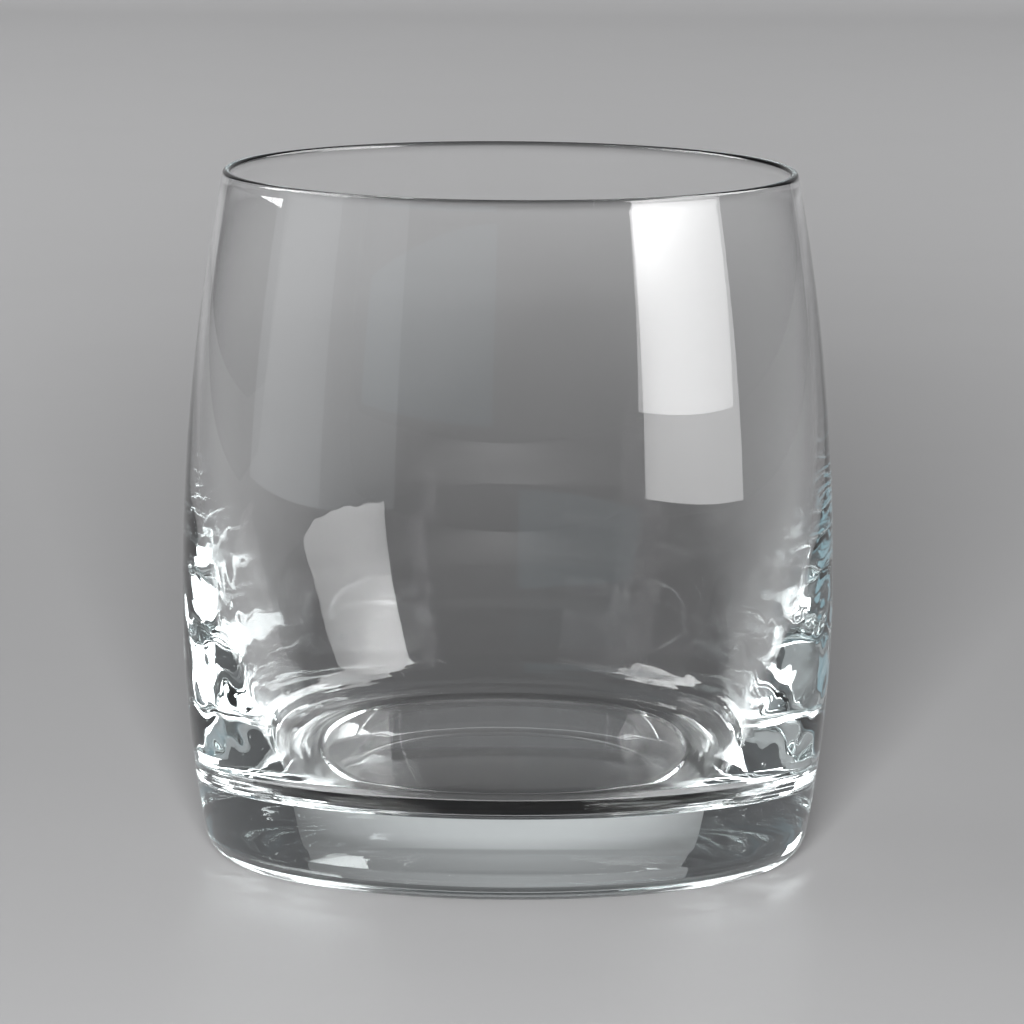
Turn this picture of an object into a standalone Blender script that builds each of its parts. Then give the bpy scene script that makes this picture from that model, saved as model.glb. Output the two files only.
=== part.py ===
"""A barrel-sided whiskey tumbler: one turned body of clear glass on a heavy base.

Metres, +Z up, origin on the table at the middle of the foot.
"""

import math

import bpy

# Outside of the glass
HEIGHT = 0.090
RIM_DIA = 0.0747  # across the rim's bead
BELLY_DIA = 0.0846
BELLY_HEIGHT = 0.0365  # where the outside is widest
FOOT_DIA = 0.0766  # where the side would meet the table without the heel's rounding
HEEL_RADIUS = 0.005

# Underside
RING_WIDTH = 0.0125  # flat ring that the glass stands on
PUNT_DEPTH = 0.0013  # hollow inside the ring

# Inside of the glass
RIM_WALL = 0.0011
WAIST_HEIGHT = 0.0495  # where the inside is widest
WAIST_WALL = 0.0018
BASE_THICKNESS = 0.0106
BASE_WALL = 0.0085  # wall at floor level, before the corner's rounding
CORNER_RADIUS = 0.007
FLOOR_RING_WIDTH = 0.0023  # level ring between the corner and the floor's dish
DISH_DEPTH = 0.0004

# Fineness of the turned shape
TURN_STEPS = 72
SIDE_STEPS = 7
ROUND_STEPS = 6
CORNER_STEPS = 8
DISH_STEPS = 4

GLASS_COLOUR = (0.95, 0.985, 0.975, 1.0)
GLASS_ROUGHNESS = 0.02
GLASS_IOR = 1.5
MERGE_DISTANCE = 0.00001


class Sweep:
    """A long arc that stands upright at its start and passes through its end, as (radius, height) points."""

    def __init__(self, start, end):
        run = end[1] - start[1]
        drop = start[0] - end[0]
        self.radius = (run**2 + drop**2) / (2 * drop)
        self.centre = (start[0] - self.radius, start[1])

    def at(self, height):
        """Radius of the turned surface at a height."""
        reach = math.sqrt(self.radius**2 - (height - self.centre[1]) ** 2)
        return self.centre[0] + math.copysign(reach, self.radius)

    def points(self, first, last):
        """Points from one height to another, both ends included."""
        heights = [first + (last - first) * i / SIDE_STEPS for i in range(SIDE_STEPS + 1)]
        return [(self.at(height), height) for height in heights]

    def fillet(self, floor, radius):
        """Centre of a rounding between this arc and a level floor, and the height where they meet."""
        reach = self.radius - radius
        height = floor + radius
        across = math.sqrt(reach**2 - (height - self.centre[1]) ** 2)
        centre = (self.centre[0] + math.copysign(across, reach), height)
        meeting = self.centre[1] + (height - self.centre[1]) * self.radius / reach
        return centre, meeting


def arc(centre, radius, first, last, steps):
    """Points round a centre from one angle to another, both ends included."""
    angles = [first + (last - first) * i / steps for i in range(steps + 1)]
    return [(centre[0] + radius * math.cos(a), centre[1] + radius * math.sin(a)) for a in angles]


def shallow_dome(radius, rise, edge_height, steps):
    """Points of a shallow round surface, from its edge in to its middle. A rise below zero makes a dish."""
    curve = (radius**2 + rise**2) / (2 * rise)
    centre_height = edge_height + rise - curve
    reaches = [radius * (1 - i / steps) for i in range(steps + 1)]
    return [(r, centre_height + math.copysign(math.sqrt(curve**2 - r**2), curve)) for r in reaches]


def slope_angle(sweep, centre, height):
    """Angle from a rounding's centre to the point where it meets a sweep."""
    return math.atan2(height - centre[1], sweep.at(height) - centre[0])


def bead_height():
    """Height of the middle of the rim's rounding, where the two walls end."""
    return HEIGHT - RIM_WALL / 2


def outside_sweeps():
    """The two arcs of the barrel, from the belly up to the rim and down to the foot."""
    belly = (BELLY_DIA / 2, BELLY_HEIGHT)
    upper = Sweep(belly, (RIM_DIA / 2, bead_height()))
    lower = Sweep(belly, (FOOT_DIA / 2, 0.0))
    return upper, lower


def outside_radius(height):
    upper, lower = outside_sweeps()
    return (upper if height > BELLY_HEIGHT else lower).at(height)


def inside_sweeps():
    """The two arcs of the drinking space, from its widest place up to the rim and down to the floor."""
    waist = (outside_radius(WAIST_HEIGHT) - WAIST_WALL, WAIST_HEIGHT)
    upper = Sweep(waist, (RIM_DIA / 2 - RIM_WALL, bead_height()))
    lower = Sweep(waist, (outside_radius(BASE_THICKNESS) - BASE_WALL, BASE_THICKNESS))
    return upper, lower


def inside_profile():
    """From the middle of the floor's dish out round the corner and up to the rim."""
    upper, lower = inside_sweeps()
    corner, meeting = lower.fillet(BASE_THICKNESS, CORNER_RADIUS)
    turn = slope_angle(lower, corner, meeting)
    dish = shallow_dome(corner[0] - FLOOR_RING_WIDTH, -DISH_DEPTH, BASE_THICKNESS, DISH_STEPS)
    return (
        dish[::-1]
        + arc(corner, CORNER_RADIUS, -math.pi / 2, turn, CORNER_STEPS)
        + lower.points(meeting, WAIST_HEIGHT)[1:]
        + upper.points(WAIST_HEIGHT, bead_height())[1:]
    )


def rim_profile():
    """The fire-polished bead over the top of the wall, without its two ends."""
    middle = (RIM_DIA / 2 - RIM_WALL / 2, bead_height())
    return arc(middle, RIM_WALL / 2, math.pi, 0.0, ROUND_STEPS)[1:-1]


def outside_profile():
    """From the rim down the barrel, round the heel and under to the middle of the punt."""
    upper, lower = outside_sweeps()
    heel, meeting = lower.fillet(0.0, HEEL_RADIUS)
    turn = slope_angle(lower, heel, meeting)
    return (
        upper.points(bead_height(), BELLY_HEIGHT)
        + lower.points(BELLY_HEIGHT, meeting)[1:]
        + arc(heel, HEEL_RADIUS, turn, -math.pi / 2, ROUND_STEPS)[1:]
        + shallow_dome(heel[0] - RING_WIDTH, PUNT_DEPTH, 0.0, DISH_STEPS)
    )


def glass_material():
    material = bpy.data.materials.new("clear_glass")
    material.use_nodes = True
    shader = material.node_tree.nodes["Principled BSDF"]
    shader.inputs["Base Color"].default_value = GLASS_COLOUR
    shader.inputs["Roughness"].default_value = GLASS_ROUGHNESS
    shader.inputs["Metallic"].default_value = 0.0
    shader.inputs["IOR"].default_value = GLASS_IOR
    shader.inputs["Transmission Weight"].default_value = 1.0
    return material


def turned(name, profile, material, collection):
    """A named object turned about Z from a profile of (radius, height) points."""
    mesh = bpy.data.meshes.new(name)
    edges = [(i, i + 1) for i in range(len(profile) - 1)]
    mesh.from_pydata([(radius, 0.0, height) for radius, height in profile], edges, [])
    mesh.materials.append(material)
    body = bpy.data.objects.new(name, mesh)
    collection.objects.link(body)
    screw = body.modifiers.new("turning", "SCREW")
    screw.axis = "Z"
    screw.angle = math.tau
    screw.steps = TURN_STEPS
    screw.render_steps = TURN_STEPS
    screw.use_smooth_shade = True
    screw.use_merge_vertices = True
    screw.merge_threshold = MERGE_DISTANCE
    return body


def main():
    for old in list(bpy.data.objects):
        bpy.data.objects.remove(old, do_unlink=True)
    collection = bpy.data.collections.new("whiskey_tumbler")
    bpy.context.scene.collection.children.link(collection)
    profile = inside_profile() + rim_profile() + outside_profile()
    turned("glass_body", profile, glass_material(), collection)


main()
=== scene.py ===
"""Looks of the whiskey tumbler: one body of clear glass, standing on a pale studio floor.

Metres, +Z up, in the frame of the solid model: the origin is on the floor at the middle of the foot.
"""

import math

import bpy
import numpy as np
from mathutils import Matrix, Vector


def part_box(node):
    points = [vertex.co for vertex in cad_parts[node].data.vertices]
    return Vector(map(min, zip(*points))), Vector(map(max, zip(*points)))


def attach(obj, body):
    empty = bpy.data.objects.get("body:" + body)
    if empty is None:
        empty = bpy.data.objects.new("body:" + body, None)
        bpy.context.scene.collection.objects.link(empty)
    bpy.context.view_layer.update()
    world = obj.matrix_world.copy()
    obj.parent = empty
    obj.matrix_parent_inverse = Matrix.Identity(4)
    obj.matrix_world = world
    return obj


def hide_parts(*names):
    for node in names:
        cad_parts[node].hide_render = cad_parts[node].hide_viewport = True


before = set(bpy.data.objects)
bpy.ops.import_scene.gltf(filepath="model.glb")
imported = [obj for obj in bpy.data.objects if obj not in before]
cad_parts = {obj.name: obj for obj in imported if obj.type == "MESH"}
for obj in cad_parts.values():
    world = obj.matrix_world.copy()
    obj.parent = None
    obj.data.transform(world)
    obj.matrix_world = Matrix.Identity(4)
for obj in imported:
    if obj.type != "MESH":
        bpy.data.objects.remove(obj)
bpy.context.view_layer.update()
glass_low, glass_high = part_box("glass_body")

# Outside of the glass, the first two read from the solid
HEIGHT = glass_high.z
BELLY_RADIUS = (glass_high.x - glass_low.x) / 2
BELLY_HEIGHT = 0.0365
RIM_RADIUS = 0.03735
FOOT_RADIUS = 0.0383
HEEL_RADIUS = 0.005
RING_WIDTH = 0.0125
PUNT_DEPTH = 0.0013

# Inside of the glass
RIM_WALL = 0.0011
WAIST_HEIGHT = 0.0495
WAIST_WALL = 0.0018
BASE_THICKNESS = 0.0106
BASE_WALL = 0.0085
CORNER_RADIUS = 0.007
FLOOR_RING_WIDTH = 0.0023
DISH_DEPTH = 0.0004
OFF_CENTRE = -0.0002  # the drinking space sits this far to one side at the base

# Marks that the plunger and the cooling left inside the glass
RIDGE_HEIGHT = 0.00016  # round ridge along the edge of the floor's dish
RIDGE_WIDTH = 0.0010
RING_SPACING = 0.0010  # fine rings from the ridge out into the corner
RING_SLOPE = 0.08
RING_TOP = 0.0165
UNEVEN_SLOPE = 0.018  # unevenness of the thick lower wall, mostly at the two sides
UNEVEN_TOP = 0.052
UNEVEN_LENGTHS = (0.004, 0.014)
UNEVEN_WAVES = 48
UNEVEN_SEED = 7

# Fineness of the mesh
AROUND = 264
FLOOR_ROWS = 16
RIDGE_ROWS = 60
CORNER_ROWS = 70
LOWER_ROWS = 90
UPPER_ROWS = 36
OUTSIDE_ROWS = 22
ROUND_ROWS = 12

# Camera
CAMERA_PLACE = (0.0005, -1.572, 0.2538)
CAMERA_PITCH = math.radians(-7.554)
CAMERA_ROLL = math.radians(0.41)
LENS_MM = 429.0
SENSOR_MM = 36.0

# Studio
AIR_GAP = 0.00003  # between the resting ring and the floor
FLOOR_FRONT = -1.0
FLOOR_BACK = 1.2
COVE_RADIUS = 0.3
WALL_TOP = 1.1
BACKDROP_HALF_WIDTH = 0.75
BACKDROP_RIGHT = 0.86
SIDE_REACH = -1.4  # where the side floor turns up into its wall
SIDE_BACK = 0.25
SIDE_TOP = 0.6
BOARD_COLOUR = (0.42, 0.42, 0.424, 1.0)
# Painted shade: the backdrop's wall gets a darker colour than its floor, ramping in between the two heights below,
# standing in for less light on the wall
PAINTED_WALL_SHADE = 0.38  # how pale the backdrop's wall is beside its floor
PAINTED_SHADE_FROM, PAINTED_SHADE_TO = 0.01, 0.12

# Lamps: surface brightness, where 1 is white, and the two far corners of each flat surface.
# The first four show in the glass, the others only light the floor and walls.
KEY_BRIGHTNESS = 6.5
KEY_MIDDLE = 0.45  # brightest place across the lamp
KEY_FALL = 0.35  # how much darker its two sides are
KEY_RISE = 1.0  # how much brighter its upper part is
KEY_RISE_FROM, KEY_RISE_TO = 0.14, 0.4
KEY_CORNERS = ((1.3, -1.13, 0.0), (0.87, 0.0, 1.3))
FILL_BRIGHTNESS = 1.3
FILL_COLOUR = (0.9, 0.97, 1.0)
FILL_CORNERS = ((-0.9, -0.345, 0.0), (-0.9, 0.208, 1.0))
FILL_MIDDLE = 1.0
FILL_FALL = 0.125
DIM_FILL_BRIGHTNESS = 0.7
DIM_FILL_CORNERS = ((-0.9, -1.07, 0.0), (-0.9, -0.345, 1.0))
WINDOW_BRIGHTNESS = 0.45
WINDOW_COLOUR = (0.5, 0.86, 1.0)
WINDOW_CORNERS = ((-2.4, -1.7, 0.0), (-0.15, -1.7, 0.55))
EDGE_BRIGHTNESS = 10.0
EDGE_CORNERS = ((-0.9, 0.208, 0.216), (-0.9, 0.478, 1.2))
HIGH_BRIGHTNESS = 10.0
HIGH_CORNERS = ((-0.9, -0.345, 0.36), (-0.9, 0.2, 1.2))
BACK_BRIGHTNESS = 6.0
BACK_CORNERS = ((0.87, 0.0, 0.4), (0.75, 0.65, 1.3))
FRONT_BRIGHTNESS = 82.0
FRONT_CORNERS = ((-0.19, -1.6, 0.15), (0.11, -1.6, 0.38))
FRONT_SPREAD = math.radians(60.0)
BACKDROP_LAMP_BRIGHTNESS = 0.67
BACKDROP_LAMP_CORNERS = ((-0.8, 0.48, 0.6), (0.8, 1.3, 0.6))
BACKDROP_LAMP_SPREAD = math.radians(100.0)
SIDE_LAMP_BRIGHTNESS = 2.8
SIDE_LAMP_CORNERS = ((-1.6, -0.5, 0.7), (-1.0, 0.8, 0.7))
ROOM_COLOUR = (0.07, 0.07, 0.073, 1.0)
THROUGH_LIGHT = False  # light that the glass gathers on the floor


class Sweep:
    """A long arc that stands upright at its start and passes through its end, as (radius, height) points."""

    def __init__(self, start, end):
        run = end[1] - start[1]
        drop = start[0] - end[0]
        self.radius = (run**2 + drop**2) / (2 * drop)
        self.centre = (start[0] - self.radius, start[1])

    def at(self, height):
        return self.centre[0] + math.copysign(1, self.radius) * np.sqrt(
            self.radius**2 - (height - self.centre[1]) ** 2
        )

    def points(self, heights):
        return np.column_stack([self.at(heights), heights])

    def fillet(self, floor, radius):
        """Centre of a rounding between this arc and a level floor, and the height where they meet."""
        reach = self.radius - radius
        height = floor + radius
        across = math.sqrt(reach**2 - (height - self.centre[1]) ** 2)
        centre = (self.centre[0] + math.copysign(across, reach), height)
        meeting = self.centre[1] + (height - self.centre[1]) * self.radius / reach
        return centre, meeting


def arc(centre, radius, first, last, rows):
    angles = np.linspace(first, last, rows + 1)
    return np.column_stack([centre[0] + radius * np.cos(angles), centre[1] + radius * np.sin(angles)])


def slope_angle(sweep, centre, height):
    return math.atan2(height - centre[1], sweep.at(height) - centre[0])


def smooth_step(values, first, last):
    share = np.clip((values - first) / (last - first), 0.0, 1.0)
    return share * share * (3 - 2 * share)


class Profile:
    """The turned outline, as stretches of (radius, height) points from the floor's middle over the rim and under."""

    def __init__(self):
        bead = HEIGHT - RIM_WALL / 2
        belly = (BELLY_RADIUS, BELLY_HEIGHT)
        upper = Sweep(belly, (RIM_RADIUS, bead))
        lower = Sweep(belly, (FOOT_RADIUS, 0.0))
        waist = (upper.at(WAIST_HEIGHT) - WAIST_WALL, WAIST_HEIGHT)
        inner_upper = Sweep(waist, (RIM_RADIUS - RIM_WALL, bead))
        inner_lower = Sweep(waist, (lower.at(BASE_THICKNESS) - BASE_WALL, BASE_THICKNESS))
        corner, meeting = inner_lower.fillet(BASE_THICKNESS, CORNER_RADIUS)
        turn = slope_angle(inner_lower, corner, meeting)
        self.dish_radius = corner[0] - FLOOR_RING_WIDTH
        plain = np.linspace(0.0, self.dish_radius - 2 * RIDGE_WIDTH, FLOOR_ROWS + 1)
        ridged = np.linspace(plain[-1], corner[0], RIDGE_ROWS + 1)
        floor = np.concatenate([plain, ridged[1:]])
        self.inside = np.vstack([
            np.column_stack([floor, self.floor_height(floor)])[:-1],
            arc(corner, CORNER_RADIUS, -math.pi / 2, turn, CORNER_ROWS),
            inner_lower.points(np.linspace(meeting, WAIST_HEIGHT, LOWER_ROWS + 1))[1:],
            inner_upper.points(np.linspace(WAIST_HEIGHT, bead, UPPER_ROWS + 1))[1:],
        ])
        heel, heel_meeting = lower.fillet(0.0, HEEL_RADIUS)
        heel_turn = slope_angle(lower, heel, heel_meeting)
        punt = np.linspace(heel[0] - RING_WIDTH, 0.0, ROUND_ROWS + 1)
        self.rim = arc((RIM_RADIUS - RIM_WALL / 2, bead), RIM_WALL / 2, math.pi, 0.0, ROUND_ROWS)[1:-1]
        self.outside = np.vstack([
            upper.points(np.linspace(bead, BELLY_HEIGHT, OUTSIDE_ROWS + 1)),
            lower.points(np.linspace(BELLY_HEIGHT, heel_meeting, OUTSIDE_ROWS + 1))[1:],
            arc(heel, HEEL_RADIUS, heel_turn, -math.pi / 2, ROUND_ROWS)[1:],
            np.column_stack([punt, PUNT_DEPTH * (1 - (punt / punt[0]) ** 2)]),
        ])

    def floor_height(self, radii):
        """Height of the drinking space's floor: a shallow dish with a round ridge along its edge."""
        dish = DISH_DEPTH * np.clip(1 - (radii / self.dish_radius) ** 2, 0.0, None)
        ridge = RIDGE_HEIGHT * np.exp(-(((radii - self.dish_radius) / (RIDGE_WIDTH / 2)) ** 2))
        return BASE_THICKNESS - dish + ridge

    def points(self):
        return np.vstack([self.inside, self.rim, self.outside])


def outward(points):
    """Normals of the outline, away from the glass."""
    along = np.gradient(points, axis=0)
    normals = np.column_stack([-along[:, 1], along[:, 0]])
    return normals / np.linalg.norm(normals, axis=1, keepdims=True)


def unevenness(angles, heights):
    """A seeded unevenness round the glass and up it, made of many slanting waves."""
    draw = np.random.default_rng(UNEVEN_SEED)
    total = np.zeros((len(heights), len(angles)))
    for _ in range(UNEVEN_WAVES):
        steepness = math.tau / draw.uniform(*UNEVEN_LENGTHS)
        slant = draw.uniform(0.0, math.pi)
        lobes = round(steepness * math.cos(slant) * BELLY_RADIUS)
        climb = steepness * math.sin(slant)
        start = draw.uniform(0.0, math.tau)
        total += np.cos(lobes * angles[None, :] + climb * heights[:, None] + start) / steepness
    return UNEVEN_SLOPE * math.sqrt(2 / UNEVEN_WAVES) * total


def inside_marks(points, dish_radius, angles):
    """How far the inside surface stands proud of its outline: fine rings round the corner, an uneven wall."""
    radii, heights = points[:, 0], points[:, 1]
    along = np.concatenate([[0.0], np.cumsum(np.hypot(*np.diff(points, axis=0).T))]) - dish_radius
    ringed = smooth_step(along, 0.0, 2 * RING_SPACING)
    ringed *= 1 - smooth_step(heights, BASE_THICKNESS, RING_TOP)
    rings = RING_SLOPE * RING_SPACING / math.tau * ringed * np.sin(math.tau * along / RING_SPACING)
    wall = smooth_step(heights, BASE_THICKNESS, BASE_THICKNESS + CORNER_RADIUS)
    wall *= 1 - smooth_step(heights, UNEVEN_TOP / 2, UNEVEN_TOP)
    return rings[:, None] + wall[:, None] * np.cos(angles) ** 4 * unevenness(angles, heights)


def glass_mesh():
    profile = Profile()
    points = profile.points()
    normals = outward(points)
    inside = len(profile.inside)
    angles = np.linspace(0.0, math.tau, AROUND, endpoint=False)
    proud = np.zeros((len(points), AROUND))
    proud[:inside] = inside_marks(profile.inside, profile.dish_radius, angles)
    radii = points[:, :1] + normals[:, :1] * proud
    heights = points[:, 1:] + normals[:, 1:] * proud
    aside = np.zeros(len(points))
    aside[:inside] = OFF_CENTRE * smooth_step(HEIGHT - profile.inside[:, 1], 0.0, HEIGHT / 3)
    x = radii * np.cos(angles) + aside[:, None]
    y = radii * np.sin(angles)
    rings = np.stack([x, y, heights], axis=-1)[1:-1]
    rows = len(rings)
    middle_top = (aside[0], 0.0, points[0, 1])
    middle_under = (0.0, 0.0, points[-1, 1])
    vertices = np.vstack([rings.reshape(-1, 3), middle_top, middle_under])
    index = np.arange(rows * AROUND).reshape(rows, AROUND)
    after = np.roll(index, -1, axis=1)
    sides = np.stack([index[:-1], after[:-1], after[1:], index[1:]], axis=-1).reshape(-1, 4)
    top_fan = np.column_stack([np.full(AROUND, rows * AROUND), after[0], index[0]])
    under_fan = np.column_stack([np.full(AROUND, rows * AROUND + 1), index[-1], after[-1]])
    faces = [face[::-1] for face in sides.tolist() + top_fan.tolist() + under_fan.tolist()]
    mesh = bpy.data.meshes.new("glass_body_fine")
    mesh.from_pydata(vertices.tolist(), [], faces)
    mesh.shade_smooth()
    mesh.update()
    return mesh


class Value:
    """One output socket of a node. Arithmetic on it adds Math nodes."""

    def __init__(self, finish, socket):
        self.finish = finish
        self.socket = socket

    def maths(self, operation, *values):
        return self.finish.node("ShaderNodeMath", {"operation": operation}, dict(enumerate(values)))

    def __add__(self, other):
        return self.maths("ADD", self, other)

    def __mul__(self, other):
        return self.maths("MULTIPLY", self, other)

    def __sub__(self, other):
        return self.maths("SUBTRACT", self, other)

    def __rsub__(self, other):
        return self.maths("SUBTRACT", other, self)

    def __gt__(self, other):
        return self.maths("GREATER_THAN", self, other)

    __radd__ = __add__
    __rmul__ = __mul__


class Finish:
    """The nodes of a material or a lamp."""

    def __init__(self, owner):
        owner.use_nodes = True
        self.owner = owner
        self.tree = owner.node_tree
        self.tree.nodes.clear()

    def node(self, kind, settings, sockets, output=0):
        """Adds a node: its settings first, then the values or links of its sockets. Gives one of its outputs."""
        made = self.tree.nodes.new(kind)
        for name, setting in settings.items():
            setattr(made, name, setting)
        for name, value in sockets.items():
            if isinstance(value, Value):
                self.tree.links.new(value.socket, made.inputs[name])
            else:
                made.inputs[name].default_value = value
        return Value(self, made.outputs[output]) if made.outputs else None


def clear_glass():
    """Fire-polished glass: clear, with a breath of aqua in its depth and faint wiping marks."""
    finish = Finish(bpy.data.materials.new("clear_glass_fine"))
    place = finish.node("ShaderNodeTexCoord", {}, {}, "Object")
    stretched = finish.node(
        "ShaderNodeMapping", {}, {"Vector": place, "Scale": (160.0, 160.0, 22.0)}
    )
    smear = finish.node("ShaderNodeTexNoise", {}, {"Vector": stretched, "Scale": 1.0, "Detail": 3.0})
    speck = finish.node("ShaderNodeTexVoronoi", {}, {"Vector": place, "Scale": 420.0}, "Distance")
    dust = 1 - (speck > 0.07)
    shader = finish.node(
        "ShaderNodeBsdfPrincipled",
        {},
        {
            "Base Color": (1.0, 1.0, 1.0, 1.0),
            "Roughness": smear * 0.004 + dust * 0.12,
            "IOR": 1.52,
            "Transmission Weight": 1.0,
        },
    )
    depth = finish.node(
        "ShaderNodeVolumeAbsorption", {}, {"Color": (0.70, 0.94, 0.95, 1.0), "Density": 3.0}
    )
    finish.node("ShaderNodeOutputMaterial", {}, {"Surface": shader, "Volume": depth})
    return finish.owner


def pale_board(name, wall):
    """Satin pale-grey board; up the wall its colour may be darkened as painted shade, standing in for less light
    falling there.
    """
    finish = Finish(bpy.data.materials.new(name))
    place = finish.node("ShaderNodeTexCoord", {}, {}, "Object")
    mottle = finish.node("ShaderNodeTexNoise", {}, {"Vector": place, "Scale": 30.0, "Detail": 4.0})
    height = finish.node("ShaderNodeSeparateXYZ", {}, {"Vector": place}, "Z")
    up = finish.node(
        "ShaderNodeMapRange",
        {"interpolation_type": "SMOOTHSTEP"},
        {"Value": height, "From Min": PAINTED_SHADE_FROM, "From Max": PAINTED_SHADE_TO},
    )
    # Painted shade: the colour darkens up the wall by the wall factor; the mottle is a random tone of the board
    level = (1 - up * (1 - wall)) * (mottle * 0.05 + 0.975)
    colour = finish.node(
        "ShaderNodeMix",
        {"data_type": "RGBA"},
        {"Factor": level, "A": (0.0, 0.0, 0.0, 1.0), "B": BOARD_COLOUR},
        "Result",
    )
    shader = finish.node(
        "ShaderNodeBsdfPrincipled",
        {},
        {"Base Color": colour, "Roughness": 0.4, "Specular IOR Level": 0.05},
    )
    finish.node("ShaderNodeOutputMaterial", {}, {"Surface": shader})
    return finish.owner


def linked(name, mesh, material):
    piece = bpy.data.objects.new(name, mesh)
    bpy.context.scene.collection.objects.link(piece)
    mesh.materials.append(material)
    return piece


def cove(name, path, first, last, along, material):
    """A sheet that runs along a path of (reach, height) points, from first to last across it."""
    corners = []
    for reach, height in path:
        for across in (first, last):
            corners.append((across, reach, height) if along == "Y" else (reach, across, height))
    faces = [(2 * i, 2 * i + 1, 2 * i + 3, 2 * i + 2) for i in range(len(path) - 1)]
    mesh = bpy.data.meshes.new(name)
    mesh.from_pydata(corners, [], faces)
    mesh.shade_smooth()
    sheet = linked(name, mesh, material)
    sheet.location.z = -AIR_GAP
    return sheet


def cove_path(start, end, top):
    """Level from start to end, then a quarter round and up to the top."""
    way = math.copysign(1, end - start)
    bend = np.linspace(0.0, math.pi / 2, 25)
    rise = [
        (end + way * COVE_RADIUS * math.sin(a), COVE_RADIUS * (1 - math.cos(a))) for a in bend
    ]
    return [(start, 0.0), *rise, (end + way * COVE_RADIUS, top)]


def lamp(name, corners, brightness, in_glass, colour=(1.0, 1.0, 1.0), spread=math.pi):
    """A flat soft lamp between two corners, upright and facing the glass, or level and facing down.

    It either shows in the glass or lights the studio.
    """
    first, last = Vector(corners[0]), Vector(corners[1])
    span, middle = last - first, (first + last) / 2
    if span.z:
        facing = Vector((-span.y, span.x, 0.0))
        facing *= -math.copysign(1.0, facing.dot(middle))
        width, height = facing.length, span.z
    else:
        facing = Vector((0.0, 0.0, -1.0))
        width, height = abs(span.x), abs(span.y)
    light = bpy.data.lights.new(name, "AREA")
    light.shape = "RECTANGLE"
    light.size, light.size_y = width, height
    light.energy = brightness * math.pi * width * height
    light.color = colour
    light.spread = spread
    holder = bpy.data.objects.new(name, light)
    bpy.context.scene.collection.objects.link(holder)
    holder.location = middle
    holder.rotation_mode = "QUATERNION"
    holder.rotation_quaternion = facing.to_track_quat("-Z", "Y")
    holder.visible_glossy = in_glass
    holder.visible_transmission = in_glass
    holder.visible_diffuse = not in_glass
    if in_glass:
        holder.light_linking.receiver_collection = bpy.data.collections["glass_only"]
    return holder


def soften(holder, middle, fall, rise=0.0):
    """Lets a lamp fall off to its two sides from its brightest place, and brighten towards its top."""
    finish = Finish(holder.data)
    place = finish.node("ShaderNodeNewGeometry", {}, {}, "Parametric")
    across = finish.node("ShaderNodeSeparateXYZ", {}, {"Vector": place}, "X")
    up = finish.node("ShaderNodeSeparateXYZ", {}, {"Vector": place}, "Y")
    risen = finish.node(
        "ShaderNodeMapRange",
        {"interpolation_type": "SMOOTHSTEP"},
        {"Value": up, "From Min": KEY_RISE_FROM, "From Max": KEY_RISE_TO, "To Min": 1.0, "To Max": 1.0 + rise},
    )
    aside = (across - middle) * 2
    level = (1 - aside * aside * fall) * risen
    shader = finish.node("ShaderNodeEmission", {}, {"Color": level, "Strength": 1.0})
    finish.node("ShaderNodeOutputLight", {}, {"Surface": shader})


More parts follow.
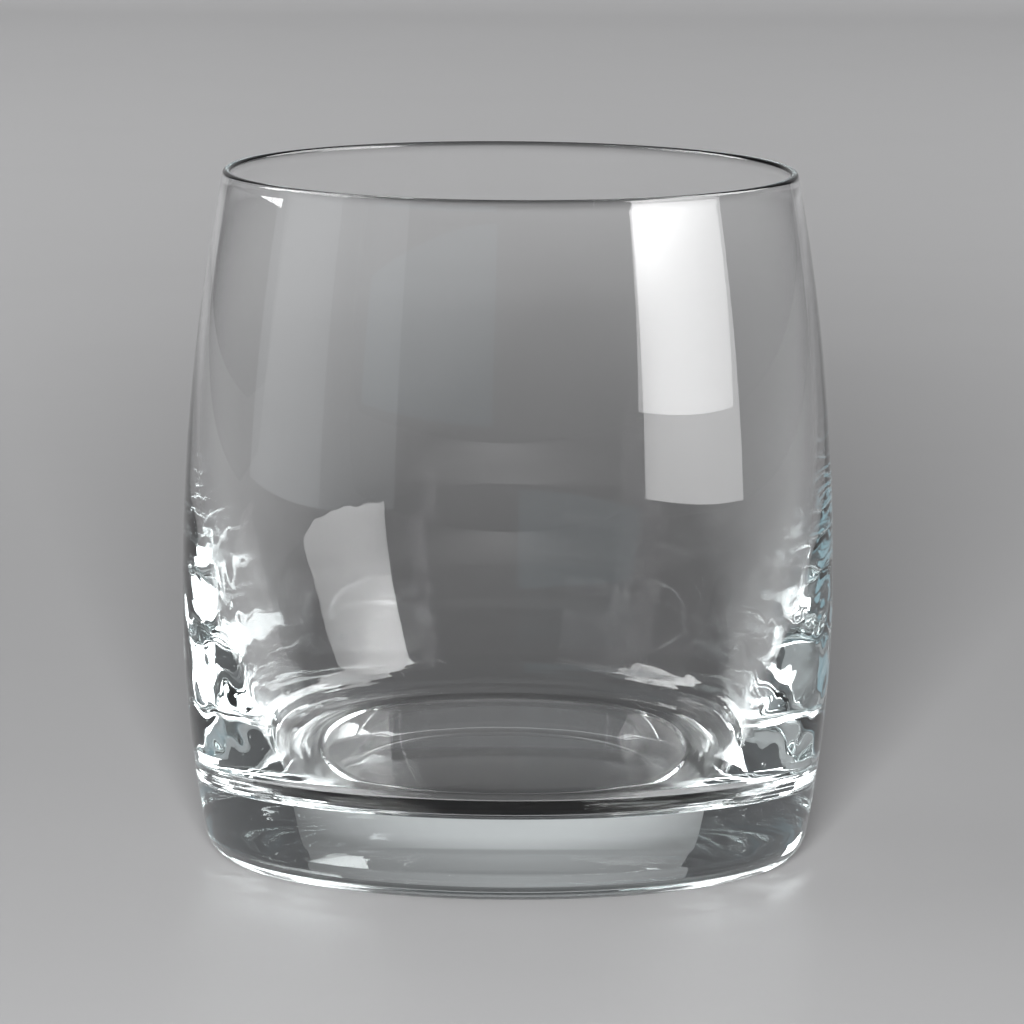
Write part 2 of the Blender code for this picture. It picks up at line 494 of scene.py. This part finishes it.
def studio():
    # The backdrop's wall carries painted shade in its colour; the side wall has none
    cove("floor_and_backdrop_painted_shade", cove_path(FLOOR_FRONT, FLOOR_BACK, WALL_TOP),
         -BACKDROP_HALF_WIDTH, BACKDROP_RIGHT, "Y", pale_board("floor_board_painted_shade", PAINTED_WALL_SHADE))
    cove("side_floor_and_wall", cove_path(-BACKDROP_HALF_WIDTH, SIDE_REACH, SIDE_TOP),
         FLOOR_FRONT, SIDE_BACK, "X", pale_board("side_board", 1.0))
    soften(lamp("key_lamp", KEY_CORNERS, KEY_BRIGHTNESS, True), KEY_MIDDLE, KEY_FALL, KEY_RISE)
    fill = lamp("fill_lamp", FILL_CORNERS, FILL_BRIGHTNESS, True, FILL_COLOUR)
    soften(fill, FILL_MIDDLE, FILL_FALL)
    dim = lamp("dim_fill_lamp", DIM_FILL_CORNERS, DIM_FILL_BRIGHTNESS, True, FILL_COLOUR)
    fill.visible_transmission = dim.visible_transmission = False
    lamp("edge_lamp", EDGE_CORNERS, EDGE_BRIGHTNESS, True)
    lamp("high_lamp", HIGH_CORNERS, HIGH_BRIGHTNESS, True)
    lamp("back_lamp", BACK_CORNERS, BACK_BRIGHTNESS, True)
    window = lamp("window_lamp", WINDOW_CORNERS, WINDOW_BRIGHTNESS, True, WINDOW_COLOUR)
    window.visible_glossy = False
    lamp("front_lamp", FRONT_CORNERS, FRONT_BRIGHTNESS, False, spread=FRONT_SPREAD)
    lamp("backdrop_lamp", BACKDROP_LAMP_CORNERS, BACKDROP_LAMP_BRIGHTNESS, False, spread=BACKDROP_LAMP_SPREAD)
    lamp("side_lamp", SIDE_LAMP_CORNERS, SIDE_LAMP_BRIGHTNESS, False)
    world = bpy.data.worlds.new("dim_room")
    bpy.context.scene.world = world
    world.use_nodes = True
    world.node_tree.nodes["Background"].inputs["Color"].default_value = ROOM_COLOUR


def camera():
    data = bpy.data.cameras.new("camera")
    data.lens = LENS_MM
    data.sensor_width = SENSOR_MM
    holder = bpy.data.objects.new("camera", data)
    bpy.context.scene.collection.objects.link(holder)
    holder.location = CAMERA_PLACE
    holder.rotation_euler = (math.pi / 2 + CAMERA_PITCH, 0.0, 0.0)
    holder.rotation_euler.rotate_axis("Z", CAMERA_ROLL)
    bpy.context.scene.camera = holder


def render_settings():
    scene = bpy.context.scene
    scene.view_settings.view_transform = "Standard"
    scene.cycles.max_bounces = 24
    scene.cycles.transmission_bounces = 24
    scene.cycles.glossy_bounces = 24
    scene.cycles.blur_glossy = 0.3
    scene.cycles.caustics_refractive = THROUGH_LIGHT


def main():
    glass = linked("glass_body_fine", glass_mesh(), clear_glass())
    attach(glass, "root")
    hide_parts("glass_body")
    bpy.data.collections.new("glass_only").objects.link(glass)
    studio()
    camera()
    render_settings()


main()
